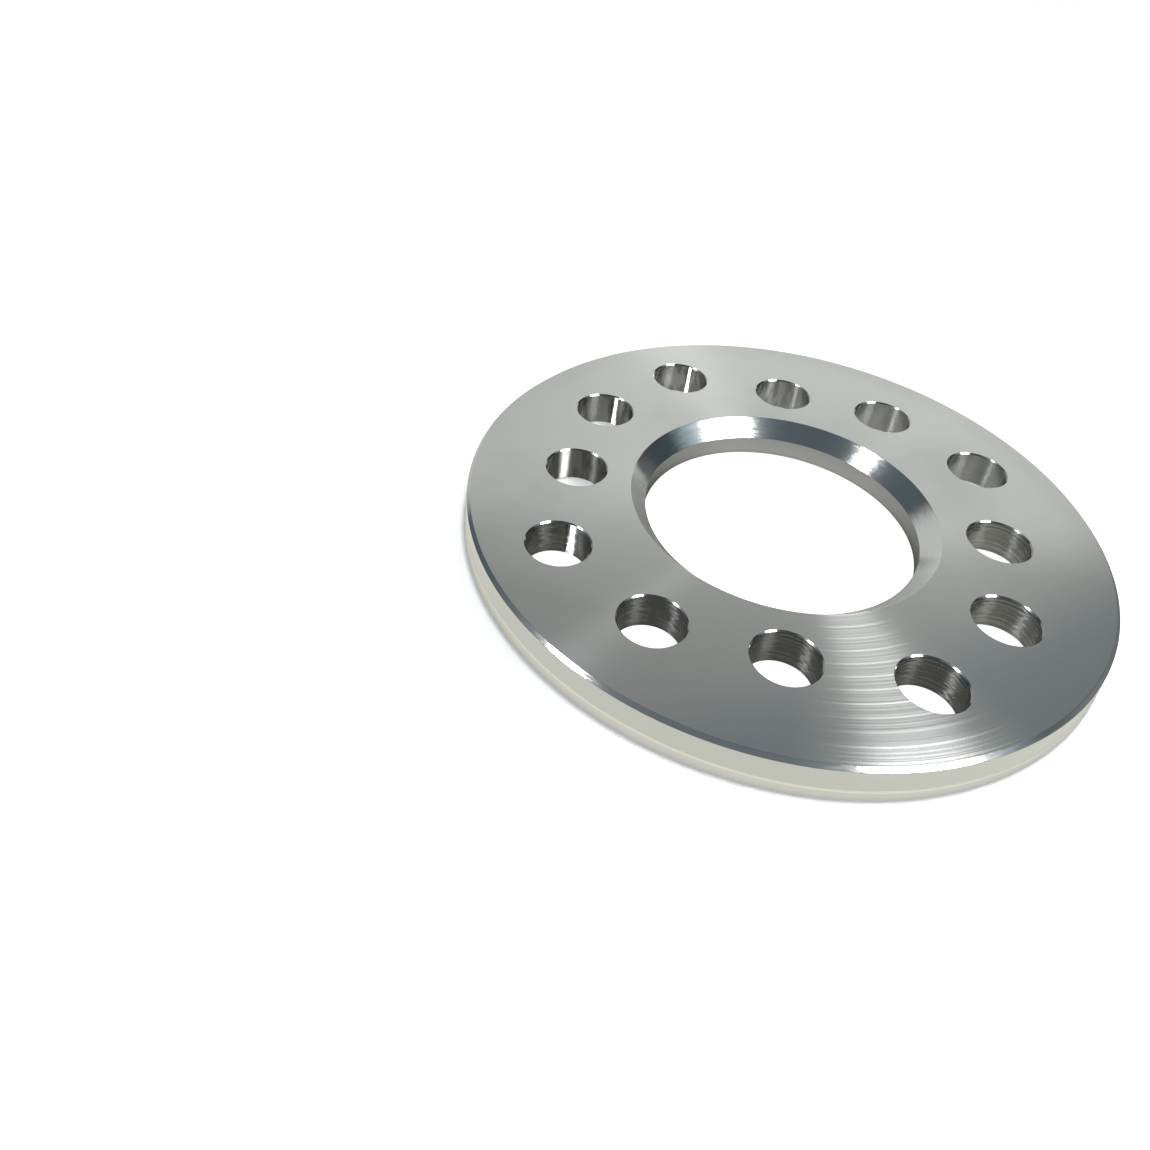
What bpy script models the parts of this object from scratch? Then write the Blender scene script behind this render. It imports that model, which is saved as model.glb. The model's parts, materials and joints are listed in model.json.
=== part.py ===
"""Wheel spacer: one plate of aluminium, turned on both sides and drilled for three four-stud bolt circles.

The plate lies flat. Its wheel face is on z = 0 and its hub face, with the wide bevel round the bore, is on top.
Lengths below are in millimetres and angles in degrees. Blender gets them in metres.
"""
import math

import bmesh
import bpy
from mathutils import Vector

MM = 0.001

# The plate
OUTER_DIAMETER = 150.0
THICKNESS = 9.0
BORE_DIAMETER = 65.1

# Bevels, all at 45 degrees. The wide one clears the root of the hub's flange.
HUB_BEVEL = 4.0
HUB_RIM_BEVEL = 0.8
WHEEL_RIM_BEVEL = 0.3
WHEEL_BORE_BEVEL = 0.3

# The rim is turned in two grips, which meet in a shallow ledge above the wheel face.
GRIP_HEIGHT = 2.8
GRIP_LEDGE = 0.06

# The stud holes: one for each bolt circle in turn, going round clockwise seen from the hub face
BOLT_CIRCLES = (114.3, 100.0, 108.0)
STUDS_PER_CIRCLE = 4
FIRST_STUD_ANGLE = 90.0
STUD_HOLE_DIAMETER = 14.5
STUD_HOLE_BEVEL = 0.3

# How finely the round surfaces are divided
PLATE_SIDES = 144
HOLE_SIDES = 40
CUTTER_OVERRUN = 2.0
SHARP_EDGE = 20.0

ALUMINIUM_COLOUR = (0.60, 0.60, 0.585, 1.0)
ALUMINIUM_ROUGHNESS = 0.32


def clear_scene():
    """Removes whatever the file opened with."""
    for thing in list(bpy.data.objects):
        bpy.data.objects.remove(thing, do_unlink=True)


def aluminium():
    """Bare machined aluminium."""
    metal = bpy.data.materials.new("machined_aluminium")
    metal.use_nodes = True
    shader = metal.node_tree.nodes["Principled BSDF"]
    shader.inputs["Base Color"].default_value = ALUMINIUM_COLOUR
    shader.inputs["Metallic"].default_value = 1.0
    shader.inputs["Roughness"].default_value = ALUMINIUM_ROUGHNESS
    return metal


def turn(name, profile, sides):
    """Turns a closed profile of (radius, height) points in millimetres once round the Z axis."""
    shape = bmesh.new()
    corners = [shape.verts.new((radius * MM, 0.0, height * MM)) for radius, height in profile]
    pairs = [(corners[i - 1], corners[i]) for i in range(len(corners))]
    edges = [shape.edges.new(pair) for pair in pairs if any(corner.co.x > 0.0 for corner in pair)]
    bmesh.ops.spin(
        shape,
        geom=corners + edges,
        cent=(0.0, 0.0, 0.0),
        axis=(0.0, 0.0, 1.0),
        angle=2.0 * math.pi,
        steps=sides,
        use_merge=True,
    )
    bmesh.ops.remove_doubles(shape, verts=shape.verts, dist=0.001 * MM)
    bmesh.ops.recalc_face_normals(shape, faces=shape.faces)
    mesh = bpy.data.meshes.new(name)
    shape.to_mesh(mesh)
    shape.free()
    turned = bpy.data.objects.new(name, mesh)
    bpy.context.scene.collection.objects.link(turned)
    return turned


def plate_profile():
    """The plate's section on one side of its axis, from the bore's wheel end round to the bore's hub end."""
    rim = OUTER_DIAMETER / 2.0
    hub_rim = rim - GRIP_LEDGE
    bore = BORE_DIAMETER / 2.0
    return [
        (bore, WHEEL_BORE_BEVEL),
        (bore + WHEEL_BORE_BEVEL, 0.0),
        (rim - WHEEL_RIM_BEVEL, 0.0),
        (rim, WHEEL_RIM_BEVEL),
        (rim, GRIP_HEIGHT),
        (hub_rim, GRIP_HEIGHT + GRIP_LEDGE),
        (hub_rim, THICKNESS - HUB_RIM_BEVEL),
        (hub_rim - HUB_RIM_BEVEL, THICKNESS),
        (bore + HUB_BEVEL, THICKNESS),
        (bore, THICKNESS - HUB_BEVEL),
    ]


def drill_profile():
    """A drill and the countersinks at its two ends as one solid, closed on its axis."""
    wall = STUD_HOLE_DIAMETER / 2.0
    flare = wall + STUD_HOLE_BEVEL + CUTTER_OVERRUN
    return [
        (0.0, -CUTTER_OVERRUN),
        (flare, -CUTTER_OVERRUN),
        (wall, STUD_HOLE_BEVEL),
        (wall, THICKNESS - STUD_HOLE_BEVEL),
        (flare, THICKNESS + CUTTER_OVERRUN),
        (0.0, THICKNESS + CUTTER_OVERRUN),
    ]


def stud_centres():
    """The hole centres, which take the bolt circles in turn at even angles."""
    count = len(BOLT_CIRCLES) * STUDS_PER_CIRCLE
    for number in range(count):
        radius = BOLT_CIRCLES[number % len(BOLT_CIRCLES)] / 2.0
        angle = math.radians(FIRST_STUD_ANGLE - number * 360.0 / count)
        yield Vector((radius * math.cos(angle), radius * math.sin(angle), 0.0)) * MM


def stud_drills():
    """All the drills as one cutter, which is left out of the model. They stand clear of each other."""
    drills = turn("stud_drills", drill_profile(), HOLE_SIDES)
    single = drills.data.copy()
    shape = bmesh.new()
    for centre in stud_centres():
        before = len(shape.verts)
        shape.from_mesh(single)
        shape.verts.ensure_lookup_table()
        bmesh.ops.translate(shape, vec=centre, verts=shape.verts[before:])
    shape.to_mesh(drills.data)
    shape.free()
    bpy.data.meshes.remove(single)
    drills.hide_render = True
    drills.display_type = "WIRE"
    return drills


def drill(plate, drills):
    """Cuts the holes, then keeps the cut mesh, so that its own edges can be marked sharp."""
    cut = plate.modifiers.new("stud_holes", "BOOLEAN")
    cut.operation = "DIFFERENCE"
    cut.solver = "EXACT"
    cut.object = drills
    drilled = bpy.data.meshes.new_from_object(plate.evaluated_get(bpy.context.evaluated_depsgraph_get()))
    plate.modifiers.clear()
    plate.data = drilled


def spacer_plate():
    """The whole spacer: the turned plate with the stud holes cut through it."""
    plate = turn("spacer_plate", plate_profile(), PLATE_SIDES)
    plate.data.materials.append(aluminium())
    drill(plate, stud_drills())
    plate.data.shade_smooth()
    plate.data.set_sharp_from_angle(angle=math.radians(SHARP_EDGE))


def main():
    clear_scene()
    spacer_plate()


main()
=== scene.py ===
# %% [markdown]
# # A wheel spacer of machined aluminium
#
# The object is one plate, turned on a lathe and drilled for the studs of a car wheel. There is no paint on
# it and nothing moves, so its looks are all in three things: crisp turned edges, the fine round marks that
# the lathe left, and the bright and dark parts of the studio that the metal mirrors. The lesson takes them
# in the order in which they can be checked: sizes, camera, light, finishes, and then the plate itself as a
# Geometry Nodes tree.

# %% Load the frame
import json
import math
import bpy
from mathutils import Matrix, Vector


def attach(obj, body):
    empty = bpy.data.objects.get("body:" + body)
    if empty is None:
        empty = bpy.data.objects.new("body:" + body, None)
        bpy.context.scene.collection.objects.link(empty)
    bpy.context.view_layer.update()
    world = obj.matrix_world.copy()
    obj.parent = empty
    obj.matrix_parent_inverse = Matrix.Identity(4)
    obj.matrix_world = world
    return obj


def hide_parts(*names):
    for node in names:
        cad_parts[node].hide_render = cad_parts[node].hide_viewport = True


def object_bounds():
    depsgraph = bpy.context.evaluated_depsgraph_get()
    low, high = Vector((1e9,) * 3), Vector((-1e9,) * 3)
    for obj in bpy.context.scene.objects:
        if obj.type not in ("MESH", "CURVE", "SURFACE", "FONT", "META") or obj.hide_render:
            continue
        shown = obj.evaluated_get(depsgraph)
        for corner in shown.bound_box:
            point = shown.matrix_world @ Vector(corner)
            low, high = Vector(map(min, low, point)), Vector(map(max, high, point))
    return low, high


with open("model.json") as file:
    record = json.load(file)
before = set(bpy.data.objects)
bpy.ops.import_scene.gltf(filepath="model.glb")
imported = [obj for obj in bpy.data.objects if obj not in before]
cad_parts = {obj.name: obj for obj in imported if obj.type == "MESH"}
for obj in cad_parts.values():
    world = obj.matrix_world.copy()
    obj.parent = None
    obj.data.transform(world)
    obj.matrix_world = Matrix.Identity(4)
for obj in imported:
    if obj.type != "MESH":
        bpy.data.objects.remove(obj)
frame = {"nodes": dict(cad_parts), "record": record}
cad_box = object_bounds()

from types import SimpleNamespace

import bmesh
import bpy
from mathutils import Matrix, Quaternion, Vector

NODE = "spacer_plate"
MM = 0.001
print("the plate fills", [tuple(round(side / MM, 3) for side in corner) for corner in cad_box], "mm")

# %% [markdown]
# ## Sizes
#
# The solid in the frame already has the right sizes, so nothing is typed in twice. A turned part is known
# by its section, and each corner of the section is a ring of points in the mesh. The rings can be found by
# asking for the smallest and largest radius at a height, and for the lowest and highest point at a radius.

# %% Measure the section
SAME = 2e-6  # two measures closer than this count as one, in metres
NEAR_STUD = 10.0 * MM

corners = [vertex.co for vertex in frame["nodes"][NODE].data.vertices]


def radius_of(point, axis=(0.0, 0.0)):
    """The distance of a point from an upright axis."""
    return math.hypot(point[0] - axis[0], point[1] - axis[1])


def radii_at(height):
    """The smallest and the largest radius of the corners at one height."""
    found = [radius_of(corner) for corner in corners if abs(corner.z - height) < SAME]
    return min(found), max(found)


def heights_at(radius):
    """The lowest and the highest corner at one distance from the axis."""
    found = [corner.z for corner in corners if abs(radius_of(corner) - radius) < SAME]
    return min(found), max(found)


thickness = cad_box[1].z
rim = max(radius_of(corner) for corner in corners)
bore = min(radius_of(corner) for corner in corners)
upper_rim = max(radius_of(corner) for corner in corners if radius_of(corner) < rim - SAME)
hub_face = radii_at(thickness)
edge_bevel, ledge_height = heights_at(rim)
found = {"rim": rim, "bore": bore, "hub face from": hub_face[0], "to": hub_face[1], "ledge at": ledge_height}
print({name: round(size / MM, 3) for name, size in found.items()}, "mm")

# %% Measure the stud holes
stud_boxes = [
    opening["box_m"]
    for opening in frame["record"]["physics"]["openings"]
    if opening["name"].startswith("stud_hole")
]
stud_centres = [((low[0] + high[0]) / 2, (low[1] + high[1]) / 2) for low, high in stud_boxes]
stud_circles = sorted({round(radius_of(centre), 5) for centre in stud_centres}, reverse=True)
stud_order = [radius_of(centre) for centre in stud_centres[: len(stud_circles)]]
first_stud = math.atan2(stud_centres[0][1], stud_centres[0][0])

near_stud = [corner for corner in corners if radius_of(corner, stud_centres[0]) < NEAR_STUD]
stud_wall = min(radius_of(corner, stud_centres[0]) for corner in near_stud)
stud_mouth = min(radius_of(corner, stud_centres[0]) for corner in near_stud if corner.z > thickness - SAME)
countersink = stud_mouth - stud_wall
print(len(stud_centres), "stud holes of", round(2 * stud_wall / MM, 2), "mm, countersunk by", end=" ")
circles = [round(2 * circle / MM, 1) for circle in stud_order]
print(round(countersink / MM, 2), "mm, on circles of", circles, "mm")

# %% [markdown]
# ## Camera
#
# A photograph of a round plate says a lot about its camera. The ellipse of the rim gives the height of the
# lens, and the way the far holes shrink gives the distance. The camera stood close, a quarter of a metre
# from the plate, and it was rolled a little. The picture was cropped afterwards, so the lens axis isn't in
# the middle of the frame, and a small lens shift puts it back. The pixel values are places in the
# photograph's own frame.

# %% Camera facts
PHOTO = 1150.0
LENS_AXIS = (564.2, 425.5)       # where the lens axis meets the picture, in pixels
FACE_CENTRE = (784.3, 503.4)     # where the middle of the hub face lies, in pixels
FOCAL_LENGTH = 1024.0            # in pixels
DISTANCE = 0.2487
RISE = math.radians(36.155)      # of the camera above the hub face, seen from its middle
ROLL = math.radians(15.353)
TURN = math.radians(-39.406)     # from -Y round to the camera's side of the plate


# Azimuths are in degrees and go round the plate as the camera sees it.
RIGHT = 0.0
BACK = 90.0
LEFT = 180.0
FRONT = 270.0


def studio_direction(azimuth, elevation=0.0):
    """The direction from the plate towards an azimuth and an elevation, both in degrees."""
    around = math.radians(azimuth) + TURN
    up = math.radians(elevation)
    return Vector((math.cos(around) * math.cos(up), math.sin(around) * math.cos(up), math.sin(up)))


# %% Place the camera
scene = bpy.context.scene
scene.view_settings.view_transform = "Standard"  # a plainly lit colour renders as it is written
middle = Vector((0.0, 0.0, thickness))
seen_from = studio_direction(FRONT, math.degrees(RISE))
forward = -seen_from
right = forward.cross(Vector((0.0, 0.0, 1.0))).normalized()
down = forward.cross(right)

# In the camera's own axes (right, down, forward), the roll comes first, and then the turn that takes the
# middle of the hub face from the lens axis to its place in the picture.
rolled = Matrix.Rotation(ROLL, 3, "Z") @ Matrix((right, down, forward))
off_axis = [(at - axis) / FOCAL_LENGTH for at, axis in zip(FACE_CENTRE, LENS_AXIS)]
aim = Vector((*off_axis, 1.0))
aimed = Vector((0.0, 0.0, 1.0)).rotation_difference(aim).to_matrix() @ rolled

lens = bpy.data.cameras.new("camera")
lens.sensor_width = 36.0
lens.lens = lens.sensor_width * FOCAL_LENGTH / PHOTO
lens.shift_x = (PHOTO / 2 - LENS_AXIS[0]) / PHOTO
lens.shift_y = (LENS_AXIS[1] - PHOTO / 2) / PHOTO
lens.clip_start = 0.01
lens.clip_end = 20.0
camera = bpy.data.objects.new("camera", lens)
scene.collection.objects.link(camera)
scene.camera = camera
turned = Matrix((aimed[0], -aimed[1], -aimed[2])).transposed()
camera.matrix_world = Matrix.Translation(middle + DISTANCE * seen_from) @ turned.to_4x4()
camera_place = [round(value, 4) for value in camera.matrix_world.translation]
print("camera at", camera_place, "with a lens of", round(lens.lens, 2), "mm")

# %% [markdown]
# ## Light
#
# Bare metal has no colour of its own to speak of: it shows the room. The bevels of the plate are narrow
# mirrors that look in every direction, and they tell where the lights stood. There was a large softbox to
# the camera's right, a small one to its left, a pale backdrop behind the plate and a darker, slightly blue
# room round the camera.
#
# The softboxes are area lamps. The backdrop and the room are painted into the world by direction, which
# needs no objects. The camera itself sees plain white there, and the floor is lit by one more lamp that
# mirrors don't show.

# %% [markdown]
# ### Helpers for nodes
#
# Shaders, the world and Geometry Nodes are all trees of nodes, and every node is made, set and linked in the
# same way. So one helper does that, and a few short ones stand for the steps that come back most: arithmetic,
# a blend of two colours, and a smooth step, which serves wherever one thing goes over into another.

# %% Helpers for nodes
UP = (0.0, 0.0, 1.0)
IN_PLAN = (1.0, 1.0, 0.0)  # times a vector, this leaves out its height


def put(tree, kind, sources=None, **settings):
    """Adds a node with its settings. Its inputs are fed from other sockets or from plain values."""
    made = tree.nodes.new(kind)
    for name, value in settings.items():
        setattr(made, name, value)
    for place, source in (sources or {}).items():
        if isinstance(source, bpy.types.NodeSocket):
            tree.links.new(source, made.inputs[place])
        else:
            made.inputs[place].default_value = source
    return made


def calc(tree, operation, *values):
    """One step of arithmetic on sockets or numbers."""
    return put(tree, "ShaderNodeMath", dict(enumerate(values)), operation=operation).outputs[0]


def times(tree, first, *others):
    """Multiplies sockets or numbers, which is also how masks are joined."""
    for other in others:
        first = calc(tree, "MULTIPLY", first, other)
    return first


def fade(tree, mask, low, high):
    """Goes from one number to another as a mask goes from 0 to 1."""
    return calc(tree, "MULTIPLY_ADD", mask, high - low, low)


def vector(tree, operation, *values):
    """One step of arithmetic on vectors that gives a vector."""
    return put(tree, "ShaderNodeVectorMath", dict(enumerate(values)), operation=operation).outputs["Vector"]


def measure(tree, operation, *values):
    """One step of arithmetic on vectors that gives a number."""
    return put(tree, "ShaderNodeVectorMath", dict(enumerate(values)), operation=operation).outputs["Value"]


def blend(tree, factor, low, high):
    """Goes from one colour to another. The Mix node's inputs 6 and 7 and its output 2 are its colours."""
    return put(tree, "ShaderNodeMix", {"Factor": factor, 6: low, 7: high}, data_type="RGBA").outputs[2]


def ramp(tree, value, start, end, low=0.0, high=1.0):
    """A smooth step from low to high while the value goes from start to end."""
    sources = {"Value": value, "From Min": start, "From Max": end, "To Min": low, "To Max": high}
    return put(tree, "ShaderNodeMapRange", sources, interpolation_type="SMOOTHSTEP").outputs[0]


# %% Where a point lies on the plate
def radius_in_mm(tree, position):
    """The distance from the plate's axis, in millimetres."""
    return calc(tree, "DIVIDE", measure(tree, "LENGTH", vector(tree, "MULTIPLY", position, IN_PLAN)), MM)


def side_in_mm(tree, position, azimuth):
    """How far a point lies to one side of the plate's axis, in millimetres."""
    return calc(tree, "DIVIDE", measure(tree, "DOT_PRODUCT", position, studio_direction(azimuth)), MM)


def side_mask(tree, position, azimuth, step, low=0.0, high=1.0):
    """Goes from low to high over a step to one side, which is given in millimetres from the axis."""
    return ramp(tree, side_in_mm(tree, position, azimuth), *step, low, high)


print("the camera's right is", [round(part, 3) for part in studio_direction(RIGHT)])

# %% [markdown]
# ### The room
#
# Walls and cards could be built round the plate, but a mirror only asks what lies in which direction. So
# the room is painted into the world. Each part of it is a colour, and a smooth step over some measure of
# the direction says where that part begins. The parts are laid over each other like coats of paint, from
# the walls to the backdrop.
#
# The backdrop is the brightest part. It is a tall card across the back with a slanted right edge, and its
# place is worked out as on a picture plane one metre behind the plate, where a straight edge stays
# straight.

# %% Directions in the room
world = bpy.data.worlds.new("studio")
scene.world = world
world.use_nodes = True
room = world.node_tree
room.nodes.clear()
heading = put(room, "ShaderNodeTexCoord").outputs["Generated"]


def along(axis):
    """How far the heading points along one direction, from -1 to 1."""
    return measure(room, "DOT_PRODUCT", heading, axis)


behind = along(studio_direction(BACK))
sideways = along(studio_direction(RIGHT))
height = along(UP)
print("behind the plate is", [round(part, 3) for part in studio_direction(BACK)])

# %% The walls
ROOM = (0.110, 0.139, 0.165, 1.0)
ROOM_LOW = (0.235, 0.265, 0.29, 1.0)
ROOM_RIGHT = (0.055, 0.075, 0.090, 1.0)
ROOM_RIGHT_LOW = (0.26, 0.265, 0.27, 1.0)
CEILING = (0.026, 0.031, 0.036, 1.0)
HALO = (0.48, 0.61, 0.67, 1.0)

# Each step goes from its first value to its second.
RIGHT_STEP = (0.3, 0.65)            # sideways
RIGHT_LOW_STEP = (0.30, 0.08)       # in height
FRONT_STEP = (0.1, -0.4)            # behind
FRONT_LOW_STEP = (0.85, 0.45)       # in height
CEILING_BACK_STEP = (0.25, 0.5)     # behind
CEILING_SIDE_STEP = (0.75, 0.45)    # sideways
HALO_AZIMUTH = -4.0
HALO_ELEVATION = 40.0
HALO_EDGE = 0.85

right_wall = blend(room, ramp(room, height, *RIGHT_LOW_STEP), ROOM_RIGHT, ROOM_RIGHT_LOW)
walls = blend(room, ramp(room, sideways, *RIGHT_STEP), ROOM, right_wall)
in_front = times(room, ramp(room, behind, *FRONT_STEP), ramp(room, height, *FRONT_LOW_STEP))
walls = blend(room, in_front, walls, ROOM_LOW)
at_back = ramp(room, behind, *CEILING_BACK_STEP)
over_card = times(room, at_back, ramp(room, sideways, *CEILING_SIDE_STEP))
walls = blend(room, over_card, walls, CEILING)

# The right softbox spills light on the wall beside it.
near_lamp = ramp(room, along(studio_direction(HALO_AZIMUTH, HALO_ELEVATION)), HALO_EDGE, 1.0)
walls = blend(room, times(room, near_lamp, near_lamp), walls, HALO)
print("the walls take", len(room.nodes), "nodes")

# %% The backdrop
BACKDROP = (1.085, 1.105, 1.06, 1.0)
BACKDROP_LEFT = (0.755, 0.77, 0.765, 1.0)
BACKDROP_LEFT_STEP = (-0.12, -0.42)
CARD_RIGHT = 0.72
CARD_LEAN = 0.51
CARD_LEFT = -2.1
CARD_TOP = 0.875
CARD_SLOPE = -0.165
CARD_BLUR = 0.13
CARD_FADE = 0.41
CARD_LEFT_BLUR = 0.8
CARD_START = (0.02, 0.12)           # behind

depth = calc(room, "MAXIMUM", behind, CARD_START[0])
across = calc(room, "DIVIDE", sideways, depth)
above = calc(room, "DIVIDE", height, depth)
past_right = calc(room, "SUBTRACT", calc(room, "MULTIPLY_ADD", above, CARD_LEAN, across), CARD_RIGHT)
over_top = calc(room, "SUBTRACT", above, calc(room, "MULTIPLY_ADD", across, CARD_SLOPE, CARD_TOP))
in_card = times(
    room,
    ramp(room, over_top, CARD_FADE, -CARD_FADE),
    ramp(room, behind, *CARD_START),
    ramp(room, past_right, CARD_BLUR, -CARD_BLUR),
    ramp(room, across, CARD_LEFT - CARD_LEFT_BLUR, CARD_LEFT + CARD_LEFT_BLUR),
)
backdrop = blend(room, ramp(room, across, *BACKDROP_LEFT_STEP), BACKDROP, BACKDROP_LEFT)
walls = blend(room, in_card, walls, backdrop)
print("with the backdrop they take", len(room.nodes), "nodes")

# %% The far floor, and what the camera sees
FLOOR_FAR = (0.66, 0.67, 0.63, 1.0)
FLOOR_RIGHT = (0.20, 0.21, 0.21, 1.0)
FLOOR_RIGHT_STEP = (0.4, 0.7)       # sideways
HORIZON_STEP = (0.0, -0.03)         # in height
WHITE = (1.0, 1.0, 1.0, 1.0)

far_floor = blend(room, ramp(room, sideways, *FLOOR_RIGHT_STEP), FLOOR_FAR, FLOOR_RIGHT)
walls = blend(room, ramp(room, height, *HORIZON_STEP), walls, far_floor)
light_path = put(room, "ShaderNodeLightPath")
backing = blend(room, light_path.outputs["Is Camera Ray"], walls, WHITE)
surround = put(room, "ShaderNodeBackground", {"Color": backing, "Strength": 1.0})
put(room, "ShaderNodeOutputWorld", {"Surface": surround.outputs[0]})
print("the whole room has", len(room.nodes), "nodes")

# %% [markdown]
# ### The softboxes
#
# The edges of a mirrored softbox are sharp, and each bevel shows one, so their places can be told to a
# degree. They are area lamps, sized by the angle that they fill, because that is what a mirror shows. Their
# light is left out of the dull paper, which has a lamp of its own, so the metal and the paper can be set
# apart from each other.

# %% Softboxes
LAMP_DISTANCE = 4.0
LAMP_POWER = 4.0  # watts to the square metre for a brightness of 1


def softbox(name, azimuth, elevation, width, height, brightness, tint=(1.0, 1.0, 1.0), lean=0.0):
    """A rectangular lamp turned to the plate. Its width and height are the angles it fills, in degrees."""
    lamp = bpy.data.lights.new(name, "AREA")
    lamp.shape = "RECTANGLE"
    lamp.size = 2.0 * LAMP_DISTANCE * math.tan(math.radians(width / 2))
    lamp.size_y = 2.0 * LAMP_DISTANCE * math.tan(math.radians(height / 2))
    lamp.energy = LAMP_POWER * lamp.size * lamp.size_y * brightness
    lamp.color = tint
    box = bpy.data.objects.new(name, lamp)
    scene.collection.objects.link(box)
    towards = studio_direction(azimuth, elevation)
    box.location = middle + LAMP_DISTANCE * towards
    box.rotation_mode = "QUATERNION"
    upright = (-towards).to_track_quat("-Z", "Y")
    box.rotation_quaternion = Quaternion(towards, math.radians(lean)) @ upright
    box.visible_camera = False
    size = [round(lamp.size, 2), round(lamp.size_y, 2)]
    print(name, "measures", size, "m and gives", round(lamp.energy, 1), "W")
    return box


key = softbox(
    "softbox_right",
    azimuth=-24.0,
    elevation=39.0,
    width=23.5,
    height=38.0,
    brightness=19.0,
    tint=(0.99, 1.0, 1.0),
    lean=-27.0,
)
side = softbox(
    "softbox_left",
    azimuth=212.5,
    elevation=39.0,
    width=8.2,
    height=30.0,
    brightness=9.6,
    tint=(0.98, 0.99, 1.0),
    lean=15.0,
)
for mirrored in (key, side):
    mirrored.visible_diffuse = False
fill = softbox("floor_light", azimuth=40.0, elevation=62.0, width=70.0, height=60.0, brightness=1.3)
fill.visible_glossy = False

# %% [markdown]
# ### The floor
#
# The plate lies on white paper, which is so bright that only the thin shadow under the rim shows, and that
# shadow is painted into the paper's glow. The walls of the plate mirror that paper too, and there it is
# neither as white nor as even: it is painted dark under the plate, and painted lighter towards the middle of
# the bore. One plain paper can't be both, so the Light Path node tells the camera's rays from the mirrored
# ones, and each gets its own brightness.

# %% A sheet of paper
FLOOR_RADIUS = 0.6
FLOOR_GAP = 0.0001

sheet = bmesh.new()
bmesh.ops.create_circle(sheet, cap_ends=True, segments=64, radius=FLOOR_RADIUS)
bmesh.ops.translate(sheet, vec=(0.0, 0.0, -FLOOR_GAP), verts=sheet.verts)
floor_mesh = bpy.data.meshes.new("floor")
sheet.to_mesh(floor_mesh)
sheet.free()
floor = bpy.data.objects.new("floor", floor_mesh)
scene.collection.objects.link(floor)
print("floor at", -FLOOR_GAP, "m with a radius of", FLOOR_RADIUS)

# %% What the camera sees of it
# Places are in millimetres, counted from the rim, the bore or the axis.
# Painted light and shade: the glow is raised under the plate, and lowered along the rim and in the far holes.
FLOOR_GLOW = 0.65
GLOW_UNDER_PLATE = 0.9
UNDER_PLATE_STEP = (-3.0, 2.0)      # past the rim
CONTACT_SHADOW_GLOW = 0.30
CONTACT_REACH = 1.4
FAR_HOLE_SHADE_GLOW = 0.40
FAR_HOLE_AZIMUTH = 110.0
FAR_HOLE_STEP = (-8.0, 20.0)        # from the axis
COVER_INNER = 3.0
COVER_OUTER = 2.0


def seen_glow(tree, place, radius, beside):
    """Glow to the camera: painted shadow at the rim, painted shade in far holes, painted light under the
    plate.
    """
    painted_contact_shadow = ramp(tree, calc(tree, "ABSOLUTE", beside), 0.0, CONTACT_REACH, CONTACT_SHADOW_GLOW, 1.0)
    painted_hole_shade = times(
        tree,
        ramp(tree, radius, bore / MM, bore / MM + COVER_INNER),
        ramp(tree, beside, COVER_OUTER, -COVER_OUTER),
        side_mask(tree, place, FAR_HOLE_AZIMUTH, FAR_HOLE_STEP),
    )
    glow = fade(tree, ramp(tree, beside, *UNDER_PLATE_STEP), GLOW_UNDER_PLATE, FLOOR_GLOW)
    return times(tree, painted_contact_shadow, fade(tree, painted_hole_shade, 1.0, FAR_HOLE_SHADE_GLOW), glow)


# %% What the metal mirrors of it
# Painted light and shade: in mirrors the paper is set dark under the plate and in the near holes, and lit in
# the bore.
FLOOR_MIRRORED = (0.86, 0.86, 0.77, 1.0)
BORE_FRONT = 0.20
BORE_BACK = 0.74
BORE_EDGE = 2.0
HOLE_FRONT = 0.16
HOLE_BACK = 0.52
HOLE_AZIMUTH = 70.0
HOLE_STEP = (-30.0, 40.0)           # from the axis
HOLE_START = 6.0                    # past the bore
BACK_STEP = (-10.0, 25.0)           # from the axis
BACK_SHADOW = 0.45
BACK_SHADOW_STEP = (28.0, 8.0)      # past the rim
RIGHT_SIDE_STEP = (-8.0, 13.0)      # past the rim


def mirrored_shade(tree, place, radius, beside):
    """How bright the paper is in a mirror: lit in the bore and outside, dim in the stud holes."""
    in_bore = times(
        tree,
        side_mask(tree, place, BACK, (0.0, bore / MM), BORE_FRONT, BORE_BACK),
        ramp(tree, radius, bore / MM + BORE_EDGE, bore / MM - BORE_EDGE),
    )
    in_hole = times(
        tree,
        side_mask(tree, place, HOLE_AZIMUTH, HOLE_STEP, HOLE_FRONT, HOLE_BACK),
        ramp(tree, radius, bore / MM, bore / MM + HOLE_START),
    )
    outside = ramp(tree, beside, *UNDER_PLATE_STEP)
    shade = calc(tree, "MAXIMUM", calc(tree, "MAXIMUM", in_bore, in_hole), outside)
    behind_plate = side_mask(tree, place, BACK, BACK_STEP)
    in_shadow = times(tree, behind_plate, ramp(tree, beside, *BACK_SHADOW_STEP), outside)
    return times(tree, shade, fade(tree, in_shadow, 1.0, BACK_SHADOW))


def mirrored_colour(tree, place):
    """The paper's colour in a mirror: warm in front, as the far floor behind, and dark to the right."""
    colour = blend(tree, side_mask(tree, place, BACK, BACK_STEP), FLOOR_MIRRORED, FLOOR_FAR)
    right_side_step = [rim / MM + past_rim for past_rim in RIGHT_SIDE_STEP]
    return blend(tree, side_mask(tree, place, RIGHT, right_side_step), colour, FLOOR_RIGHT)


# %% The paper's material
FLOOR_WHITE = (0.80, 0.80, 0.80, 1.0)
TOUCHING = 5.0 * FLOOR_GAP


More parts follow.
